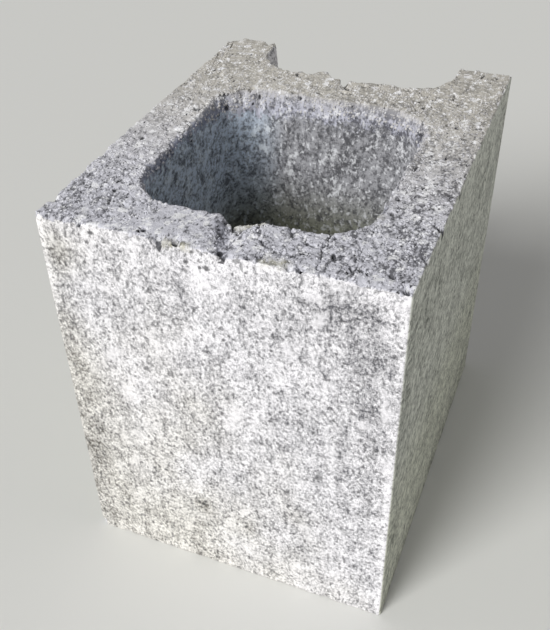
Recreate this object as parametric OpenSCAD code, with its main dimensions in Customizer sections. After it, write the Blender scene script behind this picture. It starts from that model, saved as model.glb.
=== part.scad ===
// Half-length hollow concrete block, dry-cast in one piece and standing on its bed face.
// One drafted cell runs through it from bed to bed. The far end is open: two ears and the
// cross web bound a recess, which makes a second cell with the next block in the wall.
// Millimetres. +X is across the two face shells, +Y runs to the open end, +Z is up.
// The origin is on the floor, in the middle of the block's outline.

/* [Block] */
// Thickness of the block, across its two face shells
block_w = 150; // [130:1:200]
// Length of the block, from the plain end to the tips of the ears
block_l = 190; // [180:1:240]
// Height of the block, from bed face to bed face
block_h = 190; // [150:1:240]
// Bevel that wear leaves on the outer edges
arris = 1.5; // [1:0.1:3]

/* [Cell] */
// Face shell beside the cell, at the top
shell_t = 25.5; // [22:0.5:32]
// Web that closes the plain end, at the top
end_web_t = 25.5; // [22:0.5:32]
// Web between the cell and the recess, at the top
cross_web_t = 26; // [22:0.5:34]
// Plan radius of the cell's corners, at the top
cell_r = 22; // [14:0.5:30]
// Draft of the mould core: how much nearer each cell wall comes at the bottom
core_draft = 2; // [1:0.1:4]

/* [Recess] */
// Depth of the recess from the tips of the ears to the cross web, at the top
recess_d = 33; // [24:0.5:38]
// Thickness of each ear beside the recess, at the top
ear_t = 26.5; // [20:0.5:32]
// Plan radius of the recess's inner corners, at the top
recess_r = 21; // [8:0.5:26]
// Draft of the recess's walls, from top to bottom
recess_draft = 1.5; // [1:0.1:3]

/* [Worn rim] */
// Depth of the crumbled slope round the top of the cell
rim_drop = 9; // [6:0.5:14]
// How far the slope widens the cell at the bed face
rim_flare = 0.6; // [0.4:0.1:1.5]
// How far the slope leans towards the cross web, where it is widest
rim_lean = 1.8; // [1:0.1:2.5]

/* [Break in the end web] */
// How far left of the middle of the block the break runs
break_x = 2; // [0:1:15]
// Width of the break at the cell's rim
break_w = 15; // [12:0.5:20]
// Depth of the break at the cell's rim
break_d = 4.5; // [3:0.5:7]
// Depth of the break where it reaches the plain end
break_end_d = 1; // [0.5:0.1:2]
// Width of the bite that fell out of the cell's rim, just right of the break
bite_w = 13; // [8:0.5:18]
// How far the bite goes into the end web
bite_l = 9; // [6:0.5:12]
// Depth of the bite below the bed face
bite_d = 11; // [6:0.5:16]

/* [Chipped corners] */
// Width of the chip off the left ear's outer corner, at the bed face
ear_chip_w = 9; // [4:0.5:14]
// Height of that chip
ear_chip_h = 34; // [15:1:60]
// Width of the chip off the left ear's inner corner, at the bed face
tip_chip_w = 4; // [2:0.5:7]
// Height of that chip
tip_chip_h = 16; // [8:1:30]
// Width of the chip under the plain end's left corner
foot_chip_w = 4; // [2:0.5:7]
// Height of that chip
foot_chip_h = 7; // [4:0.5:14]

/* [Fallen stones] */
// Radius of the largest nick that a stone left in an upper edge
nick_r = 3.6; // [2.5:0.1:4.5]
// Depth of that nick
nick_d = 3; // [1.5:0.1:3.5]
// Radius of the largest pit that a small stone left in the bed face
pit_r = 2.4; // [1.5:0.1:3.5]
// Depth of that pit
pit_d = 2; // [1:0.1:2.4]

/* [Hidden] */
$fn = 64;

// Cuts run this far past a face, so that no skin is left on it
past = 1;
// Plan radius of the block's four upright edges, inside their bevels
edge_r = 1;
// Share of a fracture's width that its steep side takes
steep_share = 0.2;

// Plan of the cell's mouth
cell_w = block_w - 2 * shell_t;
cell_l = block_l - end_web_t - cross_web_t - recess_d;
cell_y = -block_l / 2 + end_web_t + cell_l / 2;
cell_front = cell_y - cell_l / 2;

// Plan of the recess, which runs past the tips of the ears
recess_w = block_w - 2 * ear_t;
recess_past = recess_r + recess_draft + past;
recess_l = recess_d + recess_past;
recess_y = block_l / 2 - recess_d + recess_l / 2;

// Where stones broke out of the outer upper edges: the share of the half width and of the half
// length, and the size as a share of the largest nick. A share of 1 would lie on a face.
NICKS = [
    [-0.73, -0.99, 1],
    [-0.27, -0.99, 1],
    [0.4, -0.99, 0.65],
    [0.99, -0.23, 0.85],
    [0.99, -0.54, 0.9],
    [0.99, -0.76, 0.8],
    [-0.99, -0.63, 0.6],
    [-0.99, -0.86, 0.75],
    [-0.73, 0.99, 0.7],
];

// Where small stones left pits in the end web, the shells and the ears, in the same shares
PITS = [
    [0.6, -0.87, 0.85],
    [0.67, -0.82, 0.7],
    [-0.81, 0.5, 0.75],
    [-0.73, 0.82, 0.9],
    [0.84, 0.65, 0.7],
];

// Where they left pits in the cross web: the share of the cell's half width, the share of the
// way from the cell to the recess, and the size as a share of the largest nick
WEB_NICKS = [
    [-0.71, 0.04, 1],
    [0.42, 0.23, 0.65],
    [-0.12, 0.77, 0.45],
    [-0.02, 0.97, 1.2],
];

// A rounded block, w by l in plan with corner radius r at the bottom, each side of which
// moves out by grow over the height h. Cones make the corners, tangent to the flat walls.
module drafted_block(w, l, r, h, grow) {
    for (x = [-1, 1], y = [-1, 1])
        translate([x * (w / 2 - r), y * (l / 2 - r), 0])
            cylinder(h = h, r1 = r, r2 = r + grow);
    wedge(w, l - 2 * r, h, grow);
    rotate([0, 0, 90])
        wedge(l, w - 2 * r, h, grow);
}

// A bar of length l along Y, w wide at the bottom and wider by grow on each side at the top
module wedge(w, l, h, grow) {
    translate([0, l / 2, 0])
        rotate([90, 0, 0])
            linear_extrude(height = l)
                polygon([[-w / 2, 0], [w / 2, 0], [w / 2 + grow, h], [-w / 2 - grow, h]]);
}

// The cut of a mould core: mouth w by l with radius r at the bed face, narrower by draft
// on each side at the bottom, and run past both faces on the same slope
module core_cut(w, l, r, draft) {
    slope = draft / block_h;
    low = draft + slope * past;
    cut_h = block_h + 2 * past;
    translate([0, 0, -past])
        drafted_block(w - 2 * low, l - 2 * low, r - low, cut_h, slope * cut_h);
}

// Everything above a bed face at z = 0 that its worn, 45 degree arris leaves
module above_arris() {
    drafted_block(block_w - 2 * arris, block_l - 2 * arris, edge_r, block_h + past, block_h + past);
}

// The cast outline, bevelled all round at both bed faces
module cast_body() {
    intersection() {
        drafted_block(block_w, block_l, edge_r + arris, block_h, 0);
        above_arris();
        translate([0, 0, block_h])
            mirror([0, 0, 1])
                above_arris();
    }
}

// The cell with its crumbled rim, wider towards the cross web
module cell_cut() {
    translate([0, cell_y, 0])
        core_cut(cell_w, cell_l, cell_r, core_draft);
    inset = rim_lean + core_draft * rim_drop / block_h;
    rise = rim_drop + past;
    spread = (inset + rim_flare) * rise / rim_drop;
    translate([0, cell_y + rim_lean, block_h - rim_drop])
        drafted_block(cell_w - 2 * inset, cell_l - 2 * inset, cell_r - inset, rise, spread);
}

// The open end between the ears
module recess_cut() {
    translate([0, recess_y, 0])
        core_cut(recess_w, recess_l, recess_r, recess_draft);
}

// A V cut into the bed face, which starts at the origin and deepens along +Y: at the
// distance l it is w wide and d deep. Its left side is steep and its right side is easy.
module fracture(w, l, d) {
    fall = atan(d / l);
    run = 2 * l;
    top_w = 2 * w;
    top_h = 2 * d * cos(fall);
    rotate([-fall, 0, 0])
        translate([0, run, 0])
            rotate([90, 0, 0])
                linear_extrude(height = run)
                    polygon([[-steep_share * top_w, top_h], [0, 0], [(1 - steep_share) * top_w, top_h]]);
}

// The break across the end web, and the bite out of the cell's rim where the two meet
module break_cut() {
    lead = end_web_t * break_end_d / (break_d - break_end_d);
    translate([-break_x, -block_l / 2 - lead, block_h])
        fracture(break_w, end_web_t + lead, break_d);
    translate([bite_w * steep_share - break_x, cell_front - bite_l, block_h])
        fracture(bite_w, bite_l, bite_d);
}

// A flat chip off an upright corner that stands at the origin, with the block on its -X
// and -Y sides. It takes w of both faces at height 0, and nothing at the depth h.
module corner_chip(w, h) {
    reach = w / sqrt(2);
    rotate([0, 0, -45])
        translate([0, -reach, 0])
            rotate([atan(reach / h), 0, 0])
                translate([-2 * w, 0, -2 * h])
                    cube([4 * w, 3 * w, 3 * h]);
}

module chip_cuts() {
    translate([-block_w / 2, block_l / 2, block_h])
        mirror([1, 0, 0])
            corner_chip(ear_chip_w, ear_chip_h);
    translate([-recess_w / 2, block_l / 2, block_h])
        corner_chip(tip_chip_w, tip_chip_h);
    translate([-block_w / 2, -block_l / 2, 0])
        mirror([1, 0, 0])
            mirror([0, 1, 0])
                mirror([0, 0, 1])
                    corner_chip(foot_chip_w, foot_chip_h);
}

// A round scoop into a face that looks up at the origin, r in radius there and d deep. The
// ball lies on its side, so that its poles stay clear of the face that it leaves.
module scoop(r, d) {
    ball_r = (r * r + d * d) / (2 * d);
    translate([0, 0, ball_r - d])
        rotate([90, 0, 0])
            sphere(r = ball_r);
}

// The nicks and pits that fallen stones left in the upper bed
module stone_cuts() {
    for (nick = NICKS)
        translate([nick[0] * block_w / 2, nick[1] * block_l / 2, block_h])
            scoop(nick_r * nick[2], nick_d * nick[2]);
    for (pit = PITS)
        translate([pit[0] * block_w / 2, pit[1] * block_l / 2, block_h])
            scoop(pit_r * pit[2], pit_d * pit[2]);
    for (nick = WEB_NICKS)
        translate([nick[0] * cell_w / 2, cell_front + cell_l + nick[1] * cross_web_t, block_h])
            scoop(nick_r * nick[2], nick_d * nick[2]);
}

module block() {
    color([0.63, 0.63, 0.62])
        difference() {
            cast_body();
            cell_cut();
            recess_cut();
            break_cut();
            chip_cuts();
            stone_cuts();
        }
}

block();
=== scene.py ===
# %% [markdown]
# A hollow concrete block, dry-cast in one piece. Stiff, barely damp concrete is rammed into a
# steel mould, and the mould is drawn off at once. So its upright faces are smooth and pale with
# cement, while the face that was struck off on top is open and gritty, and its edges crumble.
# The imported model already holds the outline, the cell and the recess at their real sizes. This
# script dresses it with that grit, the broken edges and the finish of each kind of face.

# %% The frame
import math
from itertools import product

import bpy
import numpy as np
from mathutils import Matrix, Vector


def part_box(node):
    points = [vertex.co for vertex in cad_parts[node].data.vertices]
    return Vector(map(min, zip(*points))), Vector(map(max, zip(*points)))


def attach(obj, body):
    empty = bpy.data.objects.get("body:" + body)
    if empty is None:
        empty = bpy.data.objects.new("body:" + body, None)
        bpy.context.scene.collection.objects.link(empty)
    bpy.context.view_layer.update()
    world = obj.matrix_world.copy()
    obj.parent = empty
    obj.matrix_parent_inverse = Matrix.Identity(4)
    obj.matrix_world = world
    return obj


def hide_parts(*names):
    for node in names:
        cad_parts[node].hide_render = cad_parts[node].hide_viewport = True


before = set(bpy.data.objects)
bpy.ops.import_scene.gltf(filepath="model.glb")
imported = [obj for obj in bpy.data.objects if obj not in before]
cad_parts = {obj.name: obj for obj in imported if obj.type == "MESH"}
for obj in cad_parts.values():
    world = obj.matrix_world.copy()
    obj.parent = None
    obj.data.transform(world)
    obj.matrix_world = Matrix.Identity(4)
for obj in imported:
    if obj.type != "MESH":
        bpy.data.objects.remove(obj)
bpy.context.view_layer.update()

MM = 0.001
low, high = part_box("block")
WIDE, LONG, TALL = [(b - a) / MM for a, b in zip(low, high)]
print("block", round(WIDE), "x", round(LONG), "x", round(TALL), "mm")

# %% [markdown]
# Everything rough here starts from noise. Blender's own textures can't be read by numpy, so the
# noise is worked out from a hash: each whole-number corner of a lattice gets its own number from
# 0 to 1, and the values between corners are blended. It is the same on every run. Points are in
# millimetres, so a size says how far apart the bumps are on the real block.

# %% Noise
def corner_value(i, j, k, seed):
    """A number from 0 to 1 for each lattice corner: its indices are multiplied by large odd
    numbers and mixed by exclusive-or and shifts."""
    n = (i.astype(np.uint32) * np.uint32(73856093)) ^ (j.astype(np.uint32) * np.uint32(19349663))
    n = n ^ (k.astype(np.uint32) * np.uint32(83492791)) ^ np.uint32(seed * 2654435761 % 2**32)
    n = (n ^ (n >> np.uint32(13))) * np.uint32(1274126177)
    n = (n ^ (n >> np.uint32(15))) * np.uint32(2246822519)
    return (n ^ (n >> np.uint32(16))) / 2.0**32


def noise(points, size, seed):
    """Value noise from 0 to 1: the eight corners round each point, weighted by a smooth step
    of the distance along each axis. size is one length, or one for each axis."""
    scaled = points / size
    cell = np.floor(scaled).astype(np.int64)
    near = scaled - cell
    near = near * near * (3 - 2 * near)
    total = np.zeros(len(points))
    for step in product((0, 1), repeat=3):
        weight = np.prod(np.where(np.array(step) == 1, near, 1 - near), axis=1)
        total += weight * corner_value(*(cell + step).T, seed)
    return total


def layered_noise(points, size, layers, seed):
    """Noise from -1 to 1: each layer has half the size and half the height of the last."""
    size = np.asarray(size, float)
    total = np.zeros(len(points))
    height = 1.0
    for layer in range(layers):
        total += height * (2 * noise(points, size / 2**layer, seed + layer) - 1)
        height *= 0.5
    return total / (2 - 2 * height)


def grains(points, size, seed):
    """One random site in each lattice cell. Gives the distance to the nearest site, as a share
    of size, and that site's own number from 0 to 1, as a packed bed of grains has."""
    scaled = points / size
    cell = np.floor(scaled).astype(np.int64)
    best = np.full(len(points), 9.0)
    mark = np.zeros(len(points))
    for step in product((-1, 0, 1), repeat=3):
        site_cell = cell + step
        site = site_cell + np.stack([corner_value(*site_cell.T, seed + axis) for axis in range(3)], 1)
        distance = np.linalg.norm(site - scaled, axis=1)
        nearer = distance < best
        best = np.where(nearer, distance, best)
        mark = np.where(nearer, corner_value(*site_cell.T, seed + 3), mark)
    return best, mark


def smooth_step(value, start, end):
    """0 below start, 1 above end, and a smooth rise between them."""
    share = np.clip((value - start) / (end - start), 0, 1)
    return share * share * (3 - 2 * share)


# %% [markdown]
# In plan the block is two closed outlines: the cast outside, with the recess between its two
# ears, and the mouth of the cell. All corners are right angles with a round of some radius, so an
# outline is a list of corners. Both start in the middle of the plain end and run the same way
# round, so that one number, the share of the way round, gives a point on each.

# %% Plan outlines
SHELL = 25.5
END_WEB = 25.5
CROSS_WEB = 26.0
CELL_RADIUS = 22.0
RECESS_DEEP = 33.0
EAR = 26.5
RECESS_RADIUS = 21.0
ARRIS_RADIUS = 1.2
ARC_STEPS = 24

half_w = WIDE / 2
half_l = LONG / 2
ear_x = half_w - EAR
web_back = half_l - RECESS_DEEP
cell_x = half_w - SHELL
cell_front = -half_l + END_WEB
cell_back = web_back - CROSS_WEB


def rounded_outline(start, corners):
    """A closed outline from start through right-angled corners given as (x, y, radius). Each
    arc is centre minus radius times (next side x cos + previous side x sin), from 0 to 90
    degrees."""
    points = [np.array([start], float)]
    places = np.array([start] + [corner[:2] for corner in corners] + [start], float)
    angle = np.linspace(0, math.pi / 2, ARC_STEPS)[:, None]
    for before, corner, after, (_, _, radius) in zip(places, places[1:], places[2:], corners):
        to_before = (before - corner) / np.linalg.norm(before - corner)
        to_after = (after - corner) / np.linalg.norm(after - corner)
        centre = corner + radius * (to_before + to_after)
        points.append(centre - radius * (to_after * np.cos(angle) + to_before * np.sin(angle)))
    points.append(np.array([start], float))
    return np.concatenate(points)


def along(outline, share):
    """The points at these shares of an outline's length, and the unit normals on its right,
    from the chord across half a millimetre."""
    steps = np.linalg.norm(np.diff(outline, axis=0), axis=1)
    length = np.concatenate([[0], np.cumsum(steps)])

    def at(place):
        place = np.mod(place, length[-1])
        return np.stack([np.interp(place, length, outline[:, axis]) for axis in (0, 1)], 1)

    place = np.asarray(share) * length[-1]
    chord = at(place + 0.25) - at(place - 0.25)
    normal = np.stack([chord[:, 1], -chord[:, 0]], 1)
    return at(place), normal / np.linalg.norm(normal, axis=1)[:, None]


def box_outline(x, front, back, radius):
    """The outline of a rounded rectangle, symmetric about x = 0."""
    corners = [(x, front, radius), (x, back, radius), (-x, back, radius), (-x, front, radius)]
    return rounded_outline((0, front), corners)


right_half = [
    (half_w, -half_l, ARRIS_RADIUS),
    (half_w, half_l, ARRIS_RADIUS),
    (ear_x, half_l, ARRIS_RADIUS),
    (ear_x, web_back, RECESS_RADIUS),
]
left_half = [(-x, y, radius) for x, y, radius in reversed(right_half)]
cast_outline = rounded_outline((0, -half_l), right_half + left_half)
cell_outline = box_outline(cell_x, cell_front, cell_back, CELL_RADIUS)
middle_x = (half_w + cell_x) / 2
middle_front = (cell_front - half_l) / 2
middle_back = (cell_back + web_back) / 2
middle_radius = CELL_RADIUS + SHELL / 2
middle_outline = box_outline(middle_x, middle_front, middle_back, middle_radius)
print("outline points:", len(cast_outline), len(middle_outline), len(cell_outline))

# %% [markdown]
# The grid's columns run from the outside, over the top, to the cell. Straight columns from an ear
# would cross the recess, so each goes through a point on a third outline, the middle of the
# walls. A few matching places are listed on the right half: the plain end, its corner,
# the shell, the two sides of the ear and the recess. Between them the match is even.

# %% Matching columns
SHARE_TRIES = 4001


def share_of(outline, x, y):
    """The share of an outline's length at the point nearest to (x, y)."""
    tries = np.linspace(0, 1, SHARE_TRIES)
    found, _ = along(outline, tries)
    return tries[np.argmin(np.hypot(found[:, 0] - x, found[:, 1] - y))]


def on_arc(outline_x, outline_back, radius, degrees):
    """A point on the back right round of a rounded rectangle, from 0 at its side to 90."""
    angle = math.radians(degrees)
    across = outline_x - radius + radius * math.cos(angle)
    ahead = outline_back - radius + radius * math.sin(angle)
    return across, ahead


def middle_arc(degrees):
    """A point on the middle outline's back right round."""
    return on_arc(middle_x, middle_back, middle_radius, degrees)


def cell_arc(degrees):
    """A point on the cell outline's back right round."""
    return on_arc(cell_x, cell_back, CELL_RADIUS, degrees)


matches = [
    ((half_w, -half_l), (middle_x, middle_front), (cell_x, cell_front)),
    ((half_w, 0), (middle_x, 0), (cell_x, -4)),
    ((half_w, web_back - 6), middle_arc(12), cell_arc(8)),
    ((half_w, half_l), middle_arc(30), cell_arc(30)),
    ((ear_x, half_l), middle_arc(42), cell_arc(42)),
    ((ear_x, web_back + RECESS_RADIUS), middle_arc(55), cell_arc(54)),
    ((ear_x - RECESS_RADIUS, web_back), middle_arc(84), cell_arc(86)),
]
outlines = (cast_outline, middle_outline, cell_outline)
known = [[share_of(outline, *place) for outline, place in zip(outlines, row)] for row in matches]
known = np.array(known)
known = np.concatenate([[[0, 0, 0]], known, [[0.5, 0.5, 0.5]], 1 - known[::-1], [[1, 1, 1]]])

COLUMNS = 660
column_share = (np.arange(COLUMNS) + 0.5) / COLUMNS
EVEN_OUT = 9


def matched(column):
    """The shares on another outline that match the even shares on the cast outline, with
    their change from one column to the next averaged over a few neighbours."""
    offset = np.interp(column_share, known[:, 0], known[:, column]) - column_share
    kernel = np.ones(EVEN_OUT) / EVEN_OUT
    wrapped = np.concatenate([offset[-EVEN_OUT:], offset, offset[:EVEN_OUT]])
    return column_share + np.convolve(wrapped, kernel, "same")[EVEN_OUT:-EVEN_OUT]


cast, cast_out = along(cast_outline, column_share)
middle, _ = along(middle_outline, matched(1))
rim, rim_in = along(cell_outline, matched(2))
rim_in = -rim_in
print("column spacing", round(float(np.linalg.norm(cast[1] - cast[0])), 2), "mm")

# %% [markdown]
# Damage comes next, because the top surface is shaped by it. Two fractures cross the end web,
# the shallow break and the deep bite at the cell's rim. Each is a V between two edges and a
# valley, three straight lines in plan, and it deepens towards the cell. A ridge of crumbs is left
# in the bite, with a hollow in front of it. Left of the break lies a smooth flake, which ends in a
# round shoulder with a shaded step beside it. Dents are where single grains fell out, cracks are
# narrow or wide lines, and the ragged back edge of the cross web is a row of humps. All places
# were read from the photograph, in millimetres from the middle.

# %% Places of the damage
BREAK = {
    "y": (-96, -70),
    "left": (-3.2, -6.6),
    "valley": (6.5, -4.3),
    "right": (12.4, 10.5),
    "deep": (1.3, 4.1),
}
BITE = {
    "y": (-80.5, -70),
    "left": (2.3, -4.4),
    "valley": (2.8, -2.8),
    "right": (4, 12.5),
    "deep": (0.5, 10),
}
RIDGE = ((0.5, -71.4), (5, -70.9), (10.5, -70.4))
HOLLOW = ((1.2, -74.2), (7.4, -73.4))
SHOULDER = {"at": (-8, -73), "top": TALL - 0.1, "radius": 5.0}
SHADE = ((-4.5, -76), (-0.8, -83), (3.5, -93))
DENTS = [
    (-55, -94.6, 1.3, 2.6), (-62, -95, 5.0, 1.1), (-20.5, -94.4, 2.5, 3.0), (4.9, -95, 1.2, 2.0),
    (-14, -93, 2.4, 1.8), (17.5, -91, 1.6, 1.6), (30, -93.5, 1.8, 2.2), (35, -93.5, 2.0, 2.2),
    (72, -92, 2.4, 3.0), (-69, -94, 2.2, 1.6), (-36, -68, 1.8, 2.4), (44.5, -82.5, 1.8, 2.2),
    (-55, 78, 2.0, 2.2), (-54, 94, 2.2, 2.4), (-35, 36, 2.4, 4.0), (22, 42.5, 2.2, 3.4),
    (-61, 47, 2.0, 1.6), (63, 62, 1.6, 1.4), (75, -22, 2.4, 3.2), (75, -51, 2.8, 3.0),
    (74, -72, 2.4, 2.4), (74, 6, 2.2, 1.6), (3, 48, 1.8, 2.0), (-75, -60, 2.6, 1.4),
    (-74, -82, 3.4, 2.2), (50, -78, 1.8, 1.4), (-45, -78, 1.6, 1.2), (57, -94, 2.0, 1.6),
]
CRACKS = [
    ((37.5, -69), (38, -75), (37.5, -80), (38.5, -85), (39.5, -92)),
    ((22, -71), (23.5, -74), (26, -76.5)),
    ((28, -75), (31, -78), (36, -79)),
    ((41, -81), (44.5, -82.5), (47, -79)),
    ((50, -74), (51, -79), (50, -85), (52.5, -90)),
    ((12, -76), (13, -80), (17, -84)),
    ((9.5, -72), (10, -74.5), (11, -77.5)),
    ((-56, -66), (-54, -71), (-52, -77), (-49, -84), (-50, -91)),
    ((-47, -75), (-44, -79)),
    ((-31, -71), (-31.5, -79)),
    ((-16, -89), (-12, -95)),
]
WIDE_CRACKS = [((-1, 61), (0.3, 57), (4, 52)), ((2.2, -91), (3.2, -93), (4.2, -94.8))]
OCHRE_LINES = [((-19, -94.5), (-10, -94.5)), ((21, -93), (28, -92)), ((44, -56), (50, -51))]
FLAKE = {"x": -17.5, "y": -80.5, "half_x": 14, "half_y": 11}
EDGE_BUMPS = [(-13, 7, 5.4), (-24, 5, 1.4), (0, 3.4, -7.0), (5, 4, -1.6), (20, 14, 1.2), (34, 6, 1.2)]
print("damage:", len(DENTS), "dents and", len(CRACKS) + len(WIDE_CRACKS), "cracks")

# %% [markdown]
# Each kind of damage is a function of the place seen from above. The same formula can then shape
# the surface, darken it and keep the loose-looking grains away. A straight line would look cut,
# so the places are first moved about a little, which makes every outline ragged.

# %% Damage seen from above
FRACTURE_LINES = ("left", "valley", "right", "deep")
RAGGED_BY = 1.1
RAGGED_SIZE = 3.6


def fracture_depth(x, y, cut):
    """The depth of a fracture below the top, at least 0: its valley's depth, less towards
    both edges by a smooth step. Each line is given by x at the first and the second y."""
    start, end = cut["y"]
    along_y = np.clip((y - start) / (end - start), 0, 1.2)
    left, valley, right, deep = [a + (b - a) * along_y for a, b in map(cut.get, FRACTURE_LINES)]
    inwards = np.minimum((x - left) / (valley - left), (right - x) / (right - valley))
    return deep * smooth_step(inwards, 0, 1) * (y > start) * (y < cell_front + CELL_RADIUS)


def ragged_place(x, y):
    """The same places moved about by up to a millimetre, which makes smooth outlines ragged."""
    flat = np.stack([x, y, np.zeros(len(x))], 1)
    moved_x = x + RAGGED_BY * layered_noise(flat, RAGGED_SIZE, 2, 24)
    moved_y = y + RAGGED_BY * layered_noise(flat, RAGGED_SIZE, 2, 27)
    return moved_x, moved_y


def dent_depth(x, y):
    """The summed depth of the dents, each a bowl of its own radius, made uneven by noise."""
    total = np.zeros(len(x))
    flat = np.stack([x, y, np.zeros(len(x))], 1)
    for dent_x, dent_y, radius, deep in DENTS:
        near = 1 - ((x - dent_x) ** 2 + (y - dent_y) ** 2) / radius**2
        total += deep * np.clip(near, 0, None) ** 1.2
    return total * (1 + 0.4 * layered_noise(flat, 2.4, 2, 29))


def line_gap(x, y, lines):
    """The distance in plan to the nearest of the lines, each a row of straight pieces."""
    point = np.stack([x, y], 1)
    nearest = np.full(len(x), 99.0)
    for line in lines:
        corners = np.array(line, float)
        for start, end in zip(corners, corners[1:]):
            side = end - start
            part = np.clip((point - start) @ side / (side @ side), 0, 1)
            gap = np.linalg.norm(point - start - part[:, None] * side, axis=1)
            nearest = np.minimum(nearest, gap)
    return nearest


def line_share(x, y, lines, half_wide):
    """1 on a line and 0 half_wide away from it."""
    return np.clip(1 - line_gap(x, y, lines) / half_wide, 0, 1)


def flake_share(x, y):
    """1 on the smooth flake left of the break and 0 outside it: a soft squarish oval."""
    across = np.abs(x - FLAKE["x"]) / FLAKE["half_x"]
    ahead = np.abs(y - FLAKE["y"]) / FLAKE["half_y"]
    return 1 - smooth_step((across**4 + ahead**4) ** 0.25, 0.88, 1.04)


def edge_bump(x):
    """How far the ragged back edge of the cross web stands out: a sum of smooth humps, each
    (1 - distance squared) squared, with the distance in its own half width."""
    total = np.zeros(len(x))
    for at, half, out in EDGE_BUMPS:
        total += out * np.clip(1 - ((x - at) / half) ** 2, 0, None) ** 2
    return total


# %% [markdown]
# Now the main surface. It is one closed grid shaped like a ring. Columns go round the plan, and
# each column is a loop in section: up the outside, over the worn upper edge, across the top,
# over the rim, down the cell and back under the block. A box with modifiers would be quicker,
# but its points would not gather where the grit and the broken edges need them. The rows are
# about 3 mm apart on the moulded walls and under 1 mm on the top.

# %% Section rows
OUTER_ROWS = 58
EDGE_ROWS = 5
TOP_ROWS = 35
RIM_ROWS = 10
CELL_ROWS = 28
FOOT_ROWS = 3
UNDER_ROWS = 5
CORE_DRAFT = 2.0
RECESS_DRAFT = 1.5
WALL_INSET = 0.25


def lifted(plan, height):
    """Plan points and heights as points in space."""
    return np.concatenate([plan, np.broadcast_to(height, len(plan))[:, None]], 1)


# Wear is set for each column: how round the upper and lower edges are, how far the web's back
# edge stands out, and how wide and deep the crumbled rim of the cell is.
around = lifted(cast, 0)
edge_wear = 0.35 + 1.4 * noise(around, 9, 11) ** 2 + 1.8 * noise(around, 2.8, 12) ** 3
foot_wear = 0.4 + 1.6 * noise(around, 5, 15) ** 2
in_recess = (np.abs(cast[:, 0]) < ear_x + 0.1) & (cast[:, 1] > web_back - 0.1)
on_web = in_recess * smooth_step(-cast[:, 1], -web_back - RECESS_RADIUS, -web_back - 8)
web_bump = (0.8 + edge_bump(cast[:, 0]) + 1.2 * layered_noise(around, 3, 2, 18)) * on_web
edge_wear *= 1 - 0.5 * on_web
towards_web = smooth_step(rim[:, 1], -10, cell_back)
left_corner = smooth_step(-rim[:, 0], 20, 45)
rim_wide = 0.6 + 2.0 * towards_web * (1 + 0.5 * left_corner) + 1.1 * noise(around, 7, 13)
rim_wide += 2.2 * noise(lifted(rim, 0), 2.6, 17) ** 3
rim_deep = 1.2 + 6.5 * towards_web + 3.5 * noise(around, 9, 14)
print("rim at most", np.round([rim_wide.max(), rim_deep.max()], 1), "mm wide and deep")

# %% [markdown]
# The struck face was only scraped level, so it waves a little and the flake stands highest. The
# walls follow the mould: the recess and the cell narrow towards the bottom, because the mould's
# core had to be drawn out of them upwards.

# %% Heights and walls
TOP_LEVEL = TALL - 0.45
HIGHEST = TALL - 0.05
RIDGE_LEVEL = 4.4
HOLLOW_DEEP = 3.0


def lid_height(x, y):
    """The height of the top surface before its grit: the top level, waved by slow noise, less
    the fractures and the dents. A ridge of crumbs is left in the bite, and the flake beside it
    ends in a round shoulder, which is part of a ball."""
    flat = np.stack([x, y, np.zeros(len(x))], 1)
    radius = SHOULDER["radius"]
    away = (x - SHOULDER["at"][0]) ** 2 + (y - SHOULDER["at"][1]) ** 2
    ball = SHOULDER["top"] - radius + np.sqrt(np.clip(radius**2 - away, 0, None))
    ball = np.where(away < radius**2, ball, 0)
    wave = 0.35 * layered_noise(flat, 24, 2, 21) + 0.3 * flake_share(x, y)
    ragged = 1 + 0.35 * layered_noise(flat, 4.5, 3, 22)
    x, y = ragged_place(x, y)
    cut = np.maximum(fracture_depth(x, y, BREAK), fracture_depth(x, y, BITE)) * ragged
    filled = smooth_step(line_share(x, y, [RIDGE], 2.2), 0, 0.5)
    cut -= filled * np.clip(cut - RIDGE_LEVEL + 0.3 * np.clip(x, 0, 10), 0, None)
    cut += HOLLOW_DEEP * line_share(x, y, [HOLLOW], 1.6)
    return np.maximum(np.minimum(TOP_LEVEL + wave, HIGHEST) - cut - dent_depth(x, y), ball)


def outer_plan(height):
    """The outer wall at these heights: the cast outline, slightly inside the mould's face,
    narrower in the recess lower down, and with the web's ragged edge near the top."""
    draft = RECESS_DRAFT * in_recess * (1 - height / TALL)
    bump = web_bump * smooth_step(height, TALL - 18, TALL - 4)
    return cast + cast_out * (draft + bump - WALL_INSET)[:, None]


def cell_plan(height):
    """The cell's wall at these heights, nearer to the middle of the cell lower down."""
    return rim + rim_in * (CORE_DRAFT * (1 - height / TALL))[:, None]


# %% [markdown]
# The rows are now added one by one, each a whole array of points. With every row go two numbers
# for the material: how open and gritty the face is there, and how far it is inside the cell.
# Rounded edges take the cosine and the sine of an angle, and the steps along a wall crowd
# together towards the edge that shows more damage.

# %% Building the rows
rows = []
kinds = []


def add_row(plan, height, open_face, inside):
    """Keeps one row's points, and what the row is made of."""
    rows.append(lifted(plan, height))
    kinds.append((open_face, inside))


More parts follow.
